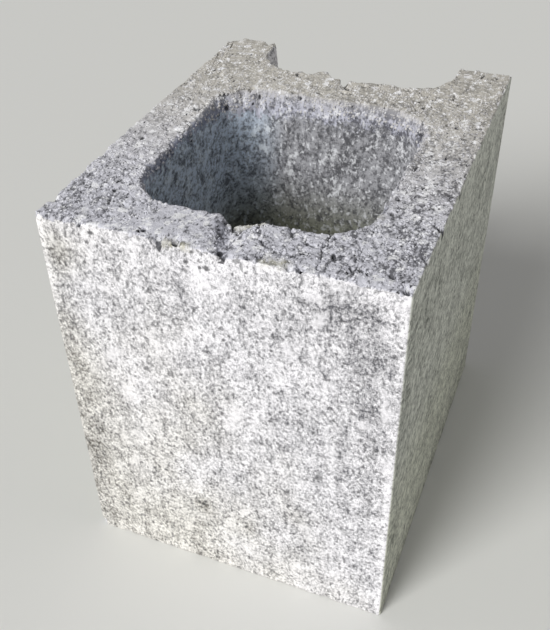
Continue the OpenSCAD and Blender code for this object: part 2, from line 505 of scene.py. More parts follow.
cast_top = outer_plan(np.full(COLUMNS, TALL))
brow = lid_height(*cast_top.T) - edge_wear
for step in 1 - (1 - np.linspace(0, 1, OUTER_ROWS)) ** 1.3:
    height = foot_wear + (brow - foot_wear) * step
    add_row(outer_plan(height), height, 0, 0)
for angle in np.linspace(0, math.pi / 2, EDGE_ROWS + 1)[1:]:
    plan = cast_top - cast_out * (edge_wear * (1 - math.cos(angle)))[:, None]
    add_row(plan, lid_height(*plan.T) - edge_wear * (1 - math.sin(angle)), angle / (math.pi / 2), 0)
top_start = plan
top_end = rim - rim_in * rim_wide[:, None]
for step in np.linspace(0, 1, TOP_ROWS + 1)[1:-1]:
    bend = 4 * step * (1 - step) * (middle - (top_start + top_end) / 2)
    plan = (1 - step) * top_start + step * top_end + bend
    add_row(plan, lid_height(*plan.T), 1, 0)
for step in np.linspace(0, 1, RIM_ROWS):
    plan = top_end + rim_in * (rim_wide * step**0.9)[:, None]
    slope = 0.45 * step + 0.55 * step**2.5
    add_row(plan, lid_height(*plan.T) - rim_deep * slope, 1 - 0.5 * step**3, step**0.5)
throat = rows[-1][:, 2]
for step in np.linspace(1, 0, CELL_ROWS + 1)[1:] ** 1.5:
    height = foot_wear + (throat - foot_wear) * step
    add_row(cell_plan(height), height, 0, 1)
foot_in = cell_plan(np.zeros(COLUMNS))
foot_out = outer_plan(np.zeros(COLUMNS)) + cast_out * WALL_INSET
for angle in np.linspace(0, math.pi / 2, FOOT_ROWS + 1)[1:]:
    plan = foot_in - rim_in * (foot_wear * (1 - math.cos(angle)))[:, None]
    add_row(plan, foot_wear * (1 - math.sin(angle)), 0.3, 0.5)
foot_start = plan
foot_end = foot_out - cast_out * foot_wear[:, None]
for step in np.linspace(0, 1, UNDER_ROWS + 1)[1:-1]:
    bend = 4 * step * (1 - step) * (middle - (foot_start + foot_end) / 2)
    add_row((1 - step) * foot_start + step * foot_end + bend, 0.0, 0.3, 0)
for angle in np.linspace(math.pi / 2, 0, FOOT_ROWS + 1)[:-1]:
    plan = foot_out - cast_out * (foot_wear * (1 - math.cos(angle)))[:, None]
    add_row(plan, foot_wear * (1 - math.sin(angle)), 0.3, 0)

grid = np.array(rows)
ROWS = len(rows)
rough, inside = [np.repeat(np.array(kind), COLUMNS) for kind in zip(*kinds)]
print(ROWS, "rows x", COLUMNS, "columns,", 2 * ROWS * COLUMNS, "triangles")

# %% [markdown]
# Corners that were knocked off are flat cuts. A point beyond such a plane is drawn straight back
# onto it, with a little noise, which keeps the grid whole where a boolean would tear it. Each
# chip is given by its corner, the way outwards in plan, the width that it takes off both faces
# and how far down it runs out, or up where that is negative.

# %% Chips
def grid_normals(points):
    """Outward unit normals of a closed grid: the cross product of the steps to the next
    column and to the next row."""
    across = np.roll(points, -1, 1) - np.roll(points, 1, 1)
    up = np.roll(points, -1, 0) - np.roll(points, 1, 0)
    normal = np.cross(across, up)
    return normal / np.maximum(np.linalg.norm(normal, axis=2, keepdims=True), 1e-9)


CHIPS = [
    ((-half_w, half_l, TALL), (-1, 1), 8.5, 34),
    ((-ear_x, half_l, TALL), (1, 1), 4.0, 16),
    ((half_w, half_l, TALL), (1, 1), 1.2, 6),
    ((-half_w, -half_l, TALL), (-1, -1), 2.6, 6),
    ((-half_w, -half_l, 0), (-1, -1), 4.0, -7),
    ((half_w, -half_l, 0), (1, -1), 1.6, -4),
]


def chip_off(points, corner, outward, wide, deep):
    """Draws points back onto a flat cut that takes wide off both faces at the corner and runs
    out at deep below it, or above it where deep is negative."""
    reach = wide / math.sqrt(2)
    normal = np.array([outward[0] / math.sqrt(2), outward[1] / math.sqrt(2), reach / deep])
    scale = np.linalg.norm(normal)
    beyond = ((points - np.array(corner)) @ normal + reach) / scale
    uneven = 0.5 * layered_noise(points, 4, 2, 31)
    beside = np.abs(points[:, :2] - np.array(corner[:2])).max(axis=1) < 2 * wide
    back = np.clip(beyond + uneven, 0, None) * (beyond > -0.6) * beside
    return points - back[:, None] * (normal / scale), back


points = grid.reshape(-1, 3)
bared = np.zeros(len(points))
for corner, outward, wide, deep in CHIPS:
    points, taken = chip_off(points, corner, outward, wide, deep)
    bared = np.maximum(bared, smooth_step(taken, 0, 0.4))
normals = grid_normals(points.reshape(ROWS, COLUMNS, 3)).reshape(-1, 3)
open_face = np.maximum(rough, bared)
print("chips bare", int((bared > 0.5).sum()), "points")

# %% [markdown]
# The relief moves every point along its normal. The struck face gets grains of two sizes and
# pits, the flake only shallow waves, and the moulded walls the faint drag lines that the mould
# left as it was drawn. Cracks are cut in, and a thin burr of cement stands out along the foot,
# where it was squeezed under the mould.

# %% Relief
# Heights and depths in millimetres. CRACKS_OFF is added to the distance from the nearest crack
# where the face isn't open, so that no crack runs down a wall.
GRIT_HIGH = 0.35
PIT_DEEP = 1.6
FLAKE_PIT_DEEP = 0.8
CRUMBLE_DEEP = 1.6
CRACK_DEEP = 1.2
CRACK_HALF = 0.9
BURR_HIGH = 0.35
DRAG_LINES = (2.4, 2.4, 16)
CRACKS_OFF = 9

x, y, z = points.T
upper = smooth_step(z, TALL - 14, TALL - 8)
flake = flake_share(x, y) * open_face * upper
coarse, coarse_mark = grains(points, 4.6, 41)
fine, fine_mark = grains(points, 2.3, 46)
grit = 0.40 * layered_noise(points, 7, 3, 51)
grit += 0.8 * (0.5 - coarse) * (coarse_mark > 0.5) + 0.5 * (0.5 - fine) * (fine_mark > 0.3)
pit = smooth_step(layered_noise(points, 3.6, 2, 55), 0.36, 0.60)
open_relief = np.minimum(grit, GRIT_HIGH) - PIT_DEEP * pit
smooth_relief = 0.22 * layered_noise(points, 5, 3, 57) - FLAKE_PIT_DEEP * pit * (fine_mark > 0.7)
wall_relief = 0.10 * layered_noise(points, DRAG_LINES, 2, 61)
wall_relief += 0.10 * layered_noise(points, 18, 2, 63)
cell_relief = 0.35 * layered_noise(points, 7, 3, 65) + 0.4 * (0.5 - coarse)
wall_relief = np.where(inside > 0.5, cell_relief, wall_relief)
near_brow = smooth_step(z, TALL - 8, TALL - 1)
crumble = near_brow * (1 - open_face) * np.clip(layered_noise(points, 2.8, 2, 67) - 0.12, 0, None)
relief = open_face * ((1 - flake) * open_relief + flake * smooth_relief)
relief += (1 - open_face) * wall_relief - CRUMBLE_DEEP * crumble
crack_gap = np.minimum(line_gap(*ragged_place(x, y), CRACKS), line_gap(x, y, WIDE_CRACKS) - 0.8)
crack_gap += CRACKS_OFF * (1 - np.maximum(open_face, smooth_step(z, TALL - 8, TALL - 6)) * upper)
crack = np.clip(1 - crack_gap / CRACK_HALF, 0, 1)
# Painted shade: the dip before the ridge and the step of the break are darkened in colour.
hollow_shade = smooth_step(line_share(x, y, [HOLLOW], 1.8), 0, 0.6) * open_face * upper
hollow_shade += 0.25 * smooth_step(line_share(x, y, [SHADE], 4.5), 0, 0.8) * open_face * upper
relief -= CRACK_DEEP * crack
burr = smooth_step(-z, -2.5, -0.5) * (1 - inside) * (0.5 + 0.6 * layered_noise(points, 2.2, 2, 69))
relief = np.where(z < 0.3, np.minimum(relief, 0) * 0.3, relief + BURR_HIGH * burr)
points = points + normals * relief[:, None]
points = np.clip(points, [-half_w, -half_l, 0], [half_w, half_l, TALL])
print("relief from", round(float(relief.min()), 2), "to", round(float(relief.max()), 2), "mm")

# %% [markdown]
# The plain end isn't evenly pale. Where the mix held more water the cement came to the face, and
# elsewhere the sand shows through. The struck face has such patches too, and the cell's back wall
# has patches of painted light and shade. They were placed one by one, and their strengths were set
# by comparing the render with the photograph area by area. Each is a soft oval: its place across
# and up the wall, or across and along the top, its half sizes in millimetres and its strength,
# which is positive where it is darker. The spots are small dark marks on the end: place across,
# place up and radius.

# %% Patches and spots
SPOTS = [
    (-9.8, 182.5, 0.8), (-1.8, 181.6, 1.2), (-4.6, 181.3, 0.8), (-7.5, 187.4, 0.8), (-3.5, 187.6, 0.7),
    (-50, 186, 0.9), (-17, 45.4, 0.7), (-15.8, 43.2, 0.9), (-13.4, 42.6, 0.9), (-12.2, 44.8, 0.7),
    (8, 35.4, 0.7), (8, 38, 0.6), (31, 55.4, 0.8), (35, 55.6, 0.7), (-35, 60.4, 0.6), (-31.6, 59.4, 0.7),
]
PATCHES = [
    (-72, 75, 10, 60, 0.9), (-68, 26, 9, 20, 0.1), (52, 177, 14, 9, 0.9), (60, 150, 14, 14, 0.8),
    (60, 105, 13, 38, 0.5), (-2, 130, 7, 12, 0.6), (-30, 150, 12, 11, 0.15), (-12, 104, 10, 12, 0.3),
    (34, 54, 6, 5, 0.7), (-14, 42, 4, 4.5, 1.5), (-33, 60, 5, 1.6, 0.6), (10, 35, 3, 6, 0.5),
    (31, 118, 8, 9, 0.6), (30, 68, 9, 8, 0.3), (15, 62, 7, 8, 0.4), (32, 144, 7, 8, -0.3),
    (-66, 174, 8, 12, 0.8), (-18, 174, 7, 9, 0.5), (-17, 60, 9, 15, -0.8), (-62, 84, 9, 9, -0.4),
    (14, 113, 7, 7, -0.5), (0, 22, 8, 9, -0.6), (32, 26, 8, 6, 0.5), (-66, 22, 7, 9, -0.5),
    (50, 80, 12, 8, -0.4), (-45, 108, 14, 12, -0.1), (14, 156, 7, 7, -0.5), (-3, 177, 9, 9, -1.0),
    (64, 131, 8, 6, 1.0), (63, 161, 8, 6, 0.7), (-67, 10, 7, 8, 0.9), (-66, 55, 7, 7, 0.7),
    (-67, 176, 7, 8, 0.7), (46, 175, 7, 7, 0.6), (64, 146, 7, 5, -0.6), (62, 39, 7, 6, -0.8),
]
TOP_PATCHES = [
    (-66, -76, 10, 18, 1.0), (66, -60, 8, 20, 0.7), (54, -76, 10, 10, 0.5), (-53, 2, 6, 34, -1.0),
    (20, 43, 17, 9, 1.1), (-30, -88, 12, 6, -0.7), (46, -91, 14, 4, -1.0), (62, 20, 9, 30, -0.5),
    (-40, 44, 12, 8, -0.8), (-66, 68, 6, 8, 0.6), (-66, 82, 8, 6, -0.6), (54, 42, 8, 8, -0.5),
    (47, -53, 5, 4, -1.6), (56, -63, 5, 4, -1.0), (50, -86, 10, 4, -0.6), (-55, -57, 6, 6, 1.0),
    (66, -89, 9, 5, -1.5), (6, -92, 14, 4, -0.8), (-25, -91, 18, 4, -0.6), (20, 41, 16, 5, 0.6),
    (54, -48, 6, 12, -0.8), (66, -34, 8, 10, 0.5), (-55, 4, 6, 10, -0.8), (-54, 0, 5, 20, -0.9),
    (-68, -91, 6, 5, 1.0),
]
# Painted light and shade: the cell's back wall is made darker near the rim and lighter lower down.
CELL_LIGHT_AND_SHADE_PATCHES = [
    (6, 156, 8, 14, 1.2), (26, 178, 16, 7, 1.3), (-21, 178, 7, 6, 0.7), (-12, 132, 18, 9, -0.6),
    (-16, 114, 18, 8, -1.2), (16, 122, 10, 8, -1.5),
]


def patch_strength(across, ahead, patches):
    """The summed strength of the patches: each falls off as a bell curve of the distance from
    its middle, measured in its own half sizes."""
    total = np.zeros(len(across))
    for at_across, at_ahead, half_across, half_ahead, strength in patches:
        distance = ((across - at_across) / half_across) ** 2 + ((ahead - at_ahead) / half_ahead) ** 2
        total += strength * np.exp(-distance)
    return total


on_end = smooth_step(-y, half_l - 3, half_l - 1) * (1 - open_face)
on_core = smooth_step(y, cell_back - 8, cell_back - 2) * (inside > 0.9)
stain_and_shade = patch_strength(x, z, PATCHES) * on_end + patch_strength(x, z, CELL_LIGHT_AND_SHADE_PATCHES) * on_core
stain_and_shade += patch_strength(x, y, TOP_PATCHES) * open_face * upper * (1 - on_core)
print("patches from", round(float(stain_and_shade.min()), 2), "to", round(float(stain_and_shade.max()), 2))

# %% [markdown]
# The mesh is built from whole arrays: four corners for each cell of the grid, wrapped round both
# ways so that nothing is open. What a point is made of goes with it as attributes, which the
# material reads: how open the face is, how far inside the cell, and how dark a pit or crack is
# painted as shade.

# %% Building the mesh
def ring_faces(row_count, column_count):
    """The corner indices of a grid that is closed both ways, wound to face outwards."""
    index = np.arange(row_count * column_count).reshape(row_count, column_count)
    right = np.roll(index, -1, 1)
    corners = (index, right, np.roll(right, -1, 0), np.roll(index, -1, 0))
    return np.stack([corner.reshape(-1) for corner in corners], 1)


def make_mesh(name, vertices_mm, faces, attributes):
    """A smooth-shaded object at the origin, from points in millimetres, whole faces of equal
    size and one number for each point in each attribute."""
    mesh = bpy.data.meshes.new(name)
    corner_count = faces.shape[1]
    mesh.vertices.add(len(vertices_mm))
    mesh.vertices.foreach_set("co", (vertices_mm * MM).astype(np.float32).reshape(-1))
    mesh.loops.add(faces.size)
    mesh.loops.foreach_set("vertex_index", faces.reshape(-1).astype(np.int32))
    mesh.polygons.add(len(faces))
    mesh.polygons.foreach_set("loop_start", np.arange(0, faces.size, corner_count, dtype=np.int32))
    mesh.polygons.foreach_set("use_smooth", np.ones(len(faces), bool))
    mesh.update(calc_edges=True)
    for attribute_name, values in attributes.items():
        attribute = mesh.attributes.new(attribute_name, "FLOAT", "POINT")
        attribute.data.foreach_set("value", np.asarray(values, np.float32))
    mesh.validate()
    piece = bpy.data.objects.new(name, mesh)
    bpy.context.scene.collection.objects.link(piece)
    return piece


# The end faces' upright edges are worn paler. The holes that grains left when they fell out are
# painted dark, as painted shade in them. The crumbs of the ridge and a few places on the edges are
# ochre with clay.
end_face = np.abs(y) > half_l - 0.9
worn = end_face * (1 - open_face) * smooth_step(np.abs(x), half_w - 5, half_w - 1.5)
worn *= np.where(x > 0, 1, smooth_step(z, 130, 165))
dents = dent_depth(*ragged_place(x, y))
shaded_dents = smooth_step(dents, 1.2, 2.6) * smooth_step(z, TALL - 6, TALL - 4.5) * 0.95
ochre = line_share(x, y, [RIDGE], 3.0) * upper
ochre = np.maximum(ochre, line_share(x, y, OCHRE_LINES, 3.5) * smooth_step(z, TALL - 4, TALL - 1.5))
# Painted shade: pits, deep dents, the dip before the ridge and the step of the break darken the pit
# value, and the dip also takes the rim's darker paste.
body_attributes = {
    "open_face": open_face,
    "inside": np.maximum(inside * (1 - bared), 0.7 * smooth_step(hollow_shade, 0, 0.3)),
    "pit": np.clip(0.8 * pit * open_face * (1 - 0.6 * flake) + hollow_shade + shaded_dents, 0, 1),
    "crack_gap": np.clip(crack_gap, 0, 4),
    "ochre": ochre,
    "worn": worn,
    "stain_and_shade": stain_and_shade,
}
body = make_mesh("cast_body", points, ring_faces(ROWS, COLUMNS), body_attributes)
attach(body, "root")
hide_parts("block")


def litres(quads):
    """The volume inside a closed mesh: each triangle and the origin span a sixth of the triple
    product of its corners, in cubic millimetres."""
    first, second, third, fourth = quads.transpose(1, 0, 2)
    sixfold = (first * np.cross(second, third)).sum() + (first * np.cross(third, fourth)).sum()
    return sixfold / 6 * MM**3 * 1000


print("volume", round(litres(points[ring_faces(ROWS, COLUMNS)]), 3), "litres")

# %% [markdown]
# Grains of sand and stone stand out of the struck face. Each is a small closed lump, a sphere
# of a few faces whose radius is varied, and thousands of them are placed by arrays and joined
# into one mesh. They sit half sunk in the surface, so they belong to the casting.

# %% Loose-looking grains
LUMP_SIDES = 6
LUMP_RINGS = 3
GRIT_COUNT = 5200
STONE_COUNT = 900
GRIT_SUNK = 0.35
STONE_SUNK = 0.55
chance = np.random.default_rng(7)


def lump_template():
    """A unit sphere of LUMP_RINGS rings of LUMP_SIDES points and two poles: x, y and z from
    the two angles, and its triangles."""
    ring_angle = np.linspace(0, math.pi, LUMP_RINGS + 2)[1:-1]
    side_angle = np.arange(LUMP_SIDES) * 2 * math.pi / LUMP_SIDES
    down, turn = np.meshgrid(ring_angle, side_angle, indexing="ij")
    ball = np.stack([np.sin(down) * np.cos(turn), np.sin(down) * np.sin(turn), np.cos(down)], -1)
    ball = np.concatenate([ball.reshape(-1, 3), [[0, 0, 1], [0, 0, -1]]])
    index = np.arange(LUMP_RINGS * LUMP_SIDES).reshape(LUMP_RINGS, LUMP_SIDES)
    right = np.roll(index, -1, 1)
    top, bottom = index.size, index.size + 1
    bands = [
        np.stack([index[:-1], index[1:], right[1:]], -1),
        np.stack([index[:-1], right[1:], right[:-1]], -1),
    ]
    caps = [
        np.stack([np.full(LUMP_SIDES, top), index[0], right[0]], -1),
        np.stack([np.full(LUMP_SIDES, bottom), right[-1], index[-1]], -1),
    ]
    return ball, np.concatenate([band.reshape(-1, 3) for band in bands] + caps)


def random_turns(count):
    """Random rotation matrices, from random unit quaternions."""
    quaternions = chance.normal(size=(count, 4))
    w, i, j, k = (quaternions / np.linalg.norm(quaternions, axis=1)[:, None]).T
    rows_of = [
        [1 - 2 * (j * j + k * k), 2 * (i * j - k * w), 2 * (i * k + j * w)],
        [2 * (i * j + k * w), 1 - 2 * (i * i + k * k), 2 * (j * k - i * w)],
        [2 * (i * k - j * w), 2 * (j * k + i * w), 1 - 2 * (i * i + j * j)],
    ]
    return np.stack([np.stack(row, -1) for row in rows_of], 1)


def scatter_lumps(name, places, radii, sunk, tones):
    """Lumps at these places, each with its own radius, turn, flatness and dents, sunk by a
    share of its radius along the surface's normal there."""
    ball, triangles = lump_template()
    count = len(places)
    stretch = chance.uniform(0.6, 1.15, (count, 1, 3))
    dented = ball[None] * chance.uniform(0.78, 1.08, (count, len(ball), 1)) * stretch
    turned = np.einsum("nij,nkj->nki", random_turns(count), dented)
    centres = points[places] - normals[places] * (sunk * radii)[:, None]
    lumps = centres[:, None] + turned * radii[:, None, None]
    lumps = np.clip(lumps, [-half_w, -half_l, 0], [half_w, half_l, TALL])
    offsets = np.arange(count)[:, None, None] * len(ball)
    faces = (triangles[None] + offsets).reshape(-1, 3)
    attributes = {"tone": np.repeat(tones, len(ball)), "ochre": np.repeat(ochre[places], len(ball))}
    piece = make_mesh(name, lumps.reshape(-1, 3), faces, attributes)
    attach(piece, "root")
    print(name, count, "lumps,", len(faces), "triangles")
    return piece


def cell_areas():
    """The area that each grid point stands for, from the steps to its neighbours."""
    shaped = points.reshape(ROWS, COLUMNS, 3)
    across = (np.roll(shaped, -1, 1) - np.roll(shaped, 1, 1)) / 2
    up = (np.roll(shaped, -1, 0) - np.roll(shaped, 1, 0)) / 2
    return np.linalg.norm(np.cross(across, up), axis=2).reshape(-1)


# Grains lie where the face is open, thickest on the ridge, and none stand in a hole or a crack
ridge = line_share(x, y, [RIDGE], 4.0) * open_face * upper
struck = (z > TALL - 9) * np.clip(open_face - 0.35, 0, 1) * (1 - 0.85 * flake)
weight = cell_areas() * struck * (0.35 + noise(points, 11, 71) + 8 * ridge)
weight *= 1 - np.clip(1.3 * shaded_dents + hollow_shade + crack, 0, 1)
weight = weight / weight.sum()
grit_places = chance.choice(len(points), GRIT_COUNT, replace=False, p=weight)
stone_places = chance.choice(len(points), STONE_COUNT, replace=False, p=weight)
grit_size = chance.uniform(0.4, 0.9, GRIT_COUNT)
stone_size = chance.uniform(0.9, 1.7, STONE_COUNT)
grit_tone = chance.uniform(0, 1, GRIT_COUNT)
grit_piece = scatter_lumps("sand_grains", grit_places, grit_size, GRIT_SUNK, grit_tone)
stone_tone = chance.uniform(0, 1, STONE_COUNT)
stone_piece = scatter_lumps("stone_grains", stone_places, stone_size, STONE_SUNK, stone_tone)

# %% [markdown]
# One material serves the whole casting, because it is one concrete. Object coordinates are
# turned into millimetres, so each noise can be given at its real size. The walls are pale
# cement speckled with grey, the struck face is greyer and grittier, and the cell's walls are
# painted bluer and duller, as painted shade. Each colour or share in the node tree is made by
# one short method, which keeps the recipes as easy to read as sums.

# %% Node helpers
GRAIN_STRETCH = (1.0, 1.55, 1.28)
LAYER_RATIO = 2.17


def srgb(red, green, blue):
    """A colour given as 0 to 255 screen values, as the linear values that shaders use."""
    screen = [level / 255 for level in (red, green, blue)]
    linear = [((s + 0.055) / 1.055) ** 2.4 if s > 0.04 else s / 12.92 for s in screen]
    return (*linear, 1.0)


class Recipe:
    """A material's node tree, with one short method for each kind of node used here."""

    def __init__(self, name):
        self.material = bpy.data.materials.new(name)
        self.material.use_nodes = True
        self.tree = self.material.node_tree
        self.shader = self.tree.nodes["Principled BSDF"]
        self.millimetres = self.vector("MULTIPLY", self.coordinates(), (1000, 1000, 1000))

    def plug(self, target, value):
        """Links another node's output to an input, or sets the input's own value."""
        if isinstance(value, bpy.types.NodeSocket):
            self.tree.links.new(value, target)
        else:
            target.default_value = value

    def node(self, kind, inputs, **settings):
        made = self.tree.nodes.new(kind)
        for name, value in settings.items():
            setattr(made, name, value)
        for key, value in inputs.items():
            self.plug(made.inputs[key], value)
        return made

    def coordinates(self):
        return self.node("ShaderNodeTexCoord", {}).outputs["Object"]

    def attribute(self, name):
        return self.node("ShaderNodeAttribute", {}, attribute_name=name).outputs["Fac"]

    def vector(self, operation, first, second):
        return self.node("ShaderNodeVectorMath", {0: first, 1: second}, operation=operation).outputs[0]

    def math(self, operation, first, second=0.0):
        return self.node("ShaderNodeMath", {0: first, 1: second}, operation=operation).outputs[0]

    def noise(self, size, detail=2.0, roughness=0.5, taller=1.0):
        """Noise with bumps of about this many millimetres, longer along Y and Z, as the drawn
        mould left them, and taller still on request. Each finer layer is a bit less than half
        the size of the last, so that the corners of their lattices don't meet."""
        wide, long, tall = [size * share for share in GRAIN_STRETCH]
        place = self.vector("DIVIDE", self.millimetres, (wide, long, tall * taller))
        inputs = {"Vector": place, "Scale": 1.0, "Detail": detail}
        inputs |= {"Roughness": roughness, "Lacunarity": LAYER_RATIO}
        return self.node("ShaderNodeTexNoise", inputs).outputs["Fac"]

    def dots(self, size, smallest, largest):
        """1 in dots that are scattered one to a cube of this size, and 0 outside them. Each
        has its own radius, and those with a negative one are missing."""
        place = self.vector("DIVIDE", self.millimetres, (size, size, size))
        cells = self.node("ShaderNodeTexVoronoi", {"Vector": place, "Scale": 1.0})
        lot = self.node("ShaderNodeSeparateXYZ", {0: cells.outputs["Color"]}).outputs[0]
        radius = self.ramp(lot, 0, 1, smallest, largest)
        uneven = self.noise(0.3 * size, 1)
        distance = cells.outputs["Distance"]
        gap = self.sum_of((distance, size), (radius, -1.0), (uneven, 0.6 * size), (1.0, -0.3 * size))
        return self.ramp(gap, 0.25, -0.25)

    def spots_on_end(self, places):
        """1 in round spots on the plain end, each given by its place across and up the end and
        its radius, with an uneven outline."""
        flat = self.vector("MULTIPLY", self.millimetres, (1, 0, 1))
        uneven = self.noise(1.2, 1)
        share = 0.0
        for x, z, radius in places:
            middle_gap = self.node("ShaderNodeVectorMath", {0: flat, 1: (x, 0, z)}, operation="DISTANCE")
            gap = self.sum_of((middle_gap.outputs["Value"], 1.0), (uneven, 1.6), (1.0, -0.8 - radius))
            share = self.math("MAXIMUM", share, self.ramp(gap, 0.4, -0.3, 0, 0.85))
        return self.math("MULTIPLY", share, self.ramp(self.part("y"), -94, -94.5))

    def rise(self, value, start, end, low=0.0, high=1.0):
        """low where the value is below start, high above end, smooth between."""
        inputs = {0: value, 1: start, 2: end, 3: low, 4: high}
        return self.node("ShaderNodeMapRange", inputs, interpolation_type="SMOOTHSTEP").outputs[0]

    def ramp(self, value, start, end, low=0.0, high=1.0):
        """As rise, but in a straight line, and end may be less than start."""
        return self.node("ShaderNodeMapRange", {0: value, 1: start, 2: end, 3: low, 4: high}).outputs[0]

    def sum_of(self, *terms):
        """The sum of (value, weight) pairs."""
        total = 0.0
        for value, weight in terms:
            inputs = {0: value, 1: weight, 2: total}
            total = self.node("ShaderNodeMath", inputs, operation="MULTIPLY_ADD").outputs[0]
        return total

    def part(self, axis):
        """One coordinate in millimetres."""
        return self.node("ShaderNodeSeparateXYZ", {0: self.millimetres}).outputs["xyz".index(axis)]

    def mix_number(self, share, first, second):
        """The first number where the share is 0, the second where it is 1."""
        return self.node("ShaderNodeMix", {0: share, 2: first, 3: second}).outputs[0]

    def mix(self, share, first, second):
        """The first colour where the share is 0, the second where it is 1."""
        inputs = {0: share, 6: first, 7: second}
        return self.node("ShaderNodeMix", inputs, data_type="RGBA").outputs[2]

    def bump(self, height, distance_mm, strength, base=None):
        """A normal tilted by the height's slope, on top of the base's tilt if there is one."""
        inputs = {"Height": height, "Distance": distance_mm * MM, "Strength": strength}
        if base is not None:
            inputs["Normal"] = base
        return self.node("ShaderNodeBump", inputs).outputs["Normal"]

    def feed(self, name, value):
        """Gives one of the shader's inputs its value."""
        self.plug(self.shader.inputs[name], value)


# %% [markdown]
# The colours are written as screen values, because under this plain light a colour renders about
# as it is written. Pale ones are the cement's skin, dark ones are the sand and painted shade in
# the holes that grains left when they fell out, and the cell, its rim and the upright sides have
# bluer, greener or duller ones of their own, which are painted shade and painted reflection.

# %% Colours
PALE_CEMENT = srgb(254, 252, 255)
PALE_WARM = srgb(252, 249, 243)
# Painted shade: the upright sides' pale colour, a darker and greenish copy of the end's.
SHADED_SIDE_PALE = srgb(226, 228, 218)
# Painted reflection: a greener pale for the lower right side, as light thrown up from the floor.
SIDE_FLOOR_REFLECTION = srgb(227, 229, 213)
GREY_SPECK = srgb(96, 96, 101)
BROWN_SPECK = srgb(100, 96, 90)
# Painted shade: the upright sides' speck colour, a greenish copy of the grey speck.
SHADED_SIDE_SPECK = srgb(106, 108, 102)
DARK_DOT = srgb(76, 76, 78)
PASTE = srgb(214, 214, 222)
# Painted light: a warmer paste for the back of the struck face, a warm cast of light.
PASTE_WARM_LIGHT = srgb(199, 195, 186)
# Painted shade: the rim's paste, lavender and bluer where it slopes into the shaded cell.
PASTE_RIM_SHADE = srgb(196, 197, 210)
RIM_SHADE_BLUE = srgb(142, 148, 170)
WORN_PALE = srgb(254, 254, 255)
OCHRE = srgb(188, 184, 156)
# Painted shade in pits, cracks and gaps, and also the colour of the darkest grains.
SHADE_AND_DARK_GRAIN = srgb(58, 58, 62)
# Painted shade: the cell's duller colours. The blue ones are for its shaded left wall, and the olive one
# low down is also a painted reflection of the floor.
CORE_SHADE_BLUE = srgb(214, 228, 245)
CORE_SHADE_GREY = srgb(174, 174, 178)
CORE_OLIVE_SHADE = srgb(132, 134, 112)
CORE_BLOB = srgb(246, 247, 250)
BLOB_SHADE_BLUE = srgb(232, 244, 255)
print("palest and darkest:", [round(value, 2) for value in (PALE_CEMENT[1], SHADE_AND_DARK_GRAIN[1])])

# %% [markdown]
# The moulded walls are a skin of pale cement, with grains of sand showing through it. One noise
# can't give that look, because the real mottling has many sizes at once. So noises of 1 to 26 mm
# are summed, a ramp turns the sum into pale or grey, and dark specks, dots and a few marks are
# laid over it. Smears of cement then hide some of the specks again.

# %% Moulded walls
WALL_RANGE = (0.675, 1.065)


def wall_colour(recipe):
    """Pale cement that is mottled with grey at several sizes, and sprinkled with dark specks of
    sand. Both grow denser in the patches. On the upright sides the colours are a darker copy with
    fewer specks, which is painted shade, tinted green as a painted reflection."""
    x, z = recipe.part("x"), recipe.part("z")
    # Painted shade: on the upright sides each colour is swapped for its darker, greenish copy, and fewer
    # specks and dots are laid on.
    side = recipe.rise(recipe.math("ABSOLUTE", x), 74.0, 74.6)
    stain_and_shade = recipe.attribute("stain_and_shade")
    mottle = recipe.sum_of(
        (recipe.noise(1.3, 2, 0.8), 1.0),
        (recipe.noise(3.0, 1, 0.5), 0.32),
        (recipe.noise(7.5, 1, 0.5), 0.2),
        (recipe.noise(26, 1, 0.5), 0.15),
        (recipe.noise(5.5, 2, 0.5, 9), 0.17),
        (recipe.attribute("worn"), 0.09),
        (stain_and_shade, -0.11),
    )
    brow = recipe.rise(recipe.sum_of((z, 1.0), (recipe.noise(7, 2), 26.0)), 185, 203)
    mottle = recipe.sum_of((mottle, 1.0), (brow, 0.05))
    place = recipe.sum_of((x, 0.0035), (z, 0.0025), (recipe.noise(34, 2), 0.5), (stain_and_shade, -0.15))
    warm = recipe.rise(recipe.ramp(place, 0.62, 0.12), 0, 1)
    # Painted reflection: low on the right side the pale turns greener, as light thrown up from the
    # floor.
    floor_reflection_share = recipe.math("MULTIPLY", recipe.rise(z, 120, 50), recipe.rise(x, 0, 1))
    side_shade_colour = recipe.mix(floor_reflection_share, SHADED_SIDE_PALE, SIDE_FLOOR_REFLECTION)
    pale = recipe.mix(side, recipe.mix(warm, PALE_CEMENT, PALE_WARM), side_shade_colour)
    grey = recipe.mix(side, recipe.mix(warm, GREY_SPECK, BROWN_SPECK), SHADED_SIDE_SPECK)
    # Each noise has its middle at a half, so the sum of the five has it at 0.92
    colour = recipe.mix(recipe.ramp(mottle, *WALL_RANGE), grey, pale)
    speck = recipe.sum_of((recipe.noise(1.9, 0), 1.0), (mottle, 0.16))
    share = recipe.math("MULTIPLY", recipe.ramp(speck, 0.51, 0.43), recipe.ramp(side, 0, 1, 0.55, 0.3))
    dots = recipe.math("MULTIPLY", recipe.dots(2.9, -0.3, 0.75), recipe.ramp(side, 0, 1, 0.75, 0.0))
    pits = recipe.math("MULTIPLY", recipe.dots(11, -2.0, 1.3), 0.6)
    share = recipe.math("MAXIMUM", share, recipe.math("MAXIMUM", dots, pits))
    colour = recipe.mix(share, colour, DARK_DOT)
    smear = recipe.sum_of((recipe.noise(8, 3, 0.65), 1.0), (stain_and_shade, -0.04))
    colour = recipe.mix(recipe.ramp(smear, 0.56, 0.68, 0, 0.65), colour, pale)
    return recipe.mix(recipe.spots_on_end(SPOTS), colour, DARK_DOT)


# %% [markdown]
# The struck face has no skin. It is grey paste between bare stones, roughest over the plain end
# and plainer towards the open end, so one share says how near the plain end a point is. The
# crumbled rim of the cell takes the same recipe in bluer, darker colours, as painted shade.

